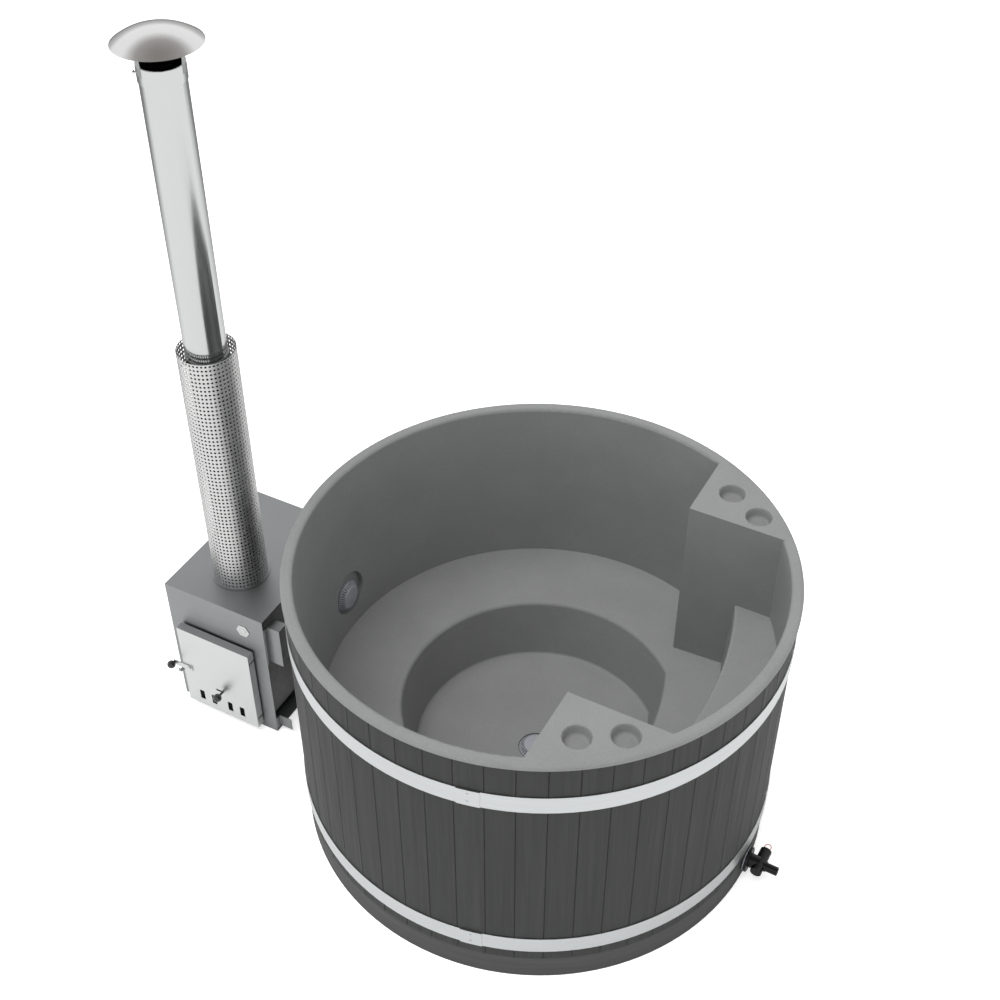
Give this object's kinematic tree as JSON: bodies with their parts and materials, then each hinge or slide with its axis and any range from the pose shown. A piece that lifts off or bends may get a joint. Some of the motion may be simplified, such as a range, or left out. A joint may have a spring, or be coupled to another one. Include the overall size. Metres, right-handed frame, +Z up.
{
  "type": "wood-fired hot tub",
  "caption": "Round stave-clad bathing tub with a moulded liner, seat, foot well and entry step, fed by a wood-fired water heater with a tall guarded chimney.",
  "frame": {"origin": "centre of the tub's base on the floor", "axes": "+Z up along the tub's axis; +X towards the entry step and drain valve, -X towards the heater"},
  "size_m": [2.2074, 1.5796, 2.515],
  "materials": {
    "liner_plastic": "matt speckled moulded polyethylene",
    "stave_wood": "charcoal stained",
    "base_wood": "charcoal stained",
    "frame_wood": "raw softwood",
    "hoop_steel": "brushed stainless band",
    "cover_plastic": "satin moulded",
    "fitting_plastic": "satin moulded",
    "gasket_rubber": "matt",
    "valve_plastic": "satin moulded",
    "loop_plastic": "coated wire",
    "hose_rubber": "matt",
    "clamp_steel": "bright",
    "casing_steel": "satin sheet",
    "jacket_steel": "heat resistant black",
    "grate_iron": "as cast",
    "door_steel": "satin sheet",
    "knob_plastic": "polished",
    "flue_steel": "bright rolled sheet",
    "cap_steel": "spun sheet, heat tinted"
  },
  "bodies": {
    "tub": {"backing_ring": "frame_wood", "base_ring": "base_wood", "cap_bolt": "clamp_steel", "cap_straps": "cap_steel", "chimney_pipe": "flue_steel", "drain_cover": "cover_plastic", "drain_nut": "fitting_plastic", "drain_pipe": "fitting_plastic", "drain_sump": "fitting_plastic", "fire_grate": "grate_iron", "floor_bearers": "frame_wood", "floor_joists": "frame_wood", "flow_hose": "hose_rubber", "flue_collar": "jacket_steel", "flue_flange": "flue_steel", "guard_spacers": "flue_steel", "heat_guard": "flue_steel", "heater_casing": "casing_steel", "heater_stave": "stave_wood", "hinge_brackets": "casing_steel", "hinge_pins": "clamp_steel", "hoop_lower": "hoop_steel", "hoop_upper": "hoop_steel", "hose_clamps": "clamp_steel", "inlet_cover": "cover_plastic", "inlet_nut": "fitting_plastic", "inlet_tail": "fitting_plastic", "jacket_legs": "jacket_steel", "latch_keeper": "casing_steel", "liner_seat": "liner_plastic", "liner_shelves": "liner_plastic", "liner_step": "liner_plastic", "liner_wall": "liner_plastic", "liner_well": "liner_plastic", "lower_bracket": "casing_steel", "mouth_frame": "jacket_steel", "rain_cap": "cap_steel", "return_hose": "hose_rubber", "return_pipe": "fitting_plastic", "seat_posts": "frame_wood", "staves_panel_1": "stave_wood", "staves_panel_2": "stave_wood", "staves_panel_3": "stave_wood", "upper_bracket": "casing_steel", "valve_body": "valve_plastic", "valve_gasket": "gasket_rubber", "valve_gland": "valve_plastic", "valve_nut": "valve_plastic", "water_jacket": "jacket_steel"},
    "door": {"door_tray": "door_steel", "door_tabs": "door_steel", "door_baffle": "jacket_steel", "slide_guides": "door_steel", "latch_pin": "door_steel"},
    "latch": {"latch_lever": "door_steel", "latch_knob": "knob_plastic"},
    "air_slide": {"air_slide": "door_steel", "slide_knob": "knob_plastic"},
    "plunger": {"valve_plunger": "valve_plastic", "pull_loop": "loop_plastic"}
  },
  "joints": [
    {"name": "door_hinge", "type": "hinge", "parent": "tub", "child": "door", "pos_m": [-0.968, -0.286, 0.2], "axis": [0, 0, 1], "range_deg": [0, 110]},
    {"name": "latch_pivot", "type": "hinge", "parent": "door", "child": "latch", "pos_m": [-1.231, -0.305, 0.202], "axis": [0, 1, 0], "range_deg": [-20, 70]},
    {"name": "air_slide_travel", "type": "slide", "parent": "door", "child": "air_slide", "axis": [-1, 0, 0], "range_m": [0, 0.024]},
    {"name": "plunger_travel", "type": "slide", "parent": "tub", "child": "plunger", "axis": [0.0157, 0.9999, 0], "range_m": [0, 0.03]}
  ]
}
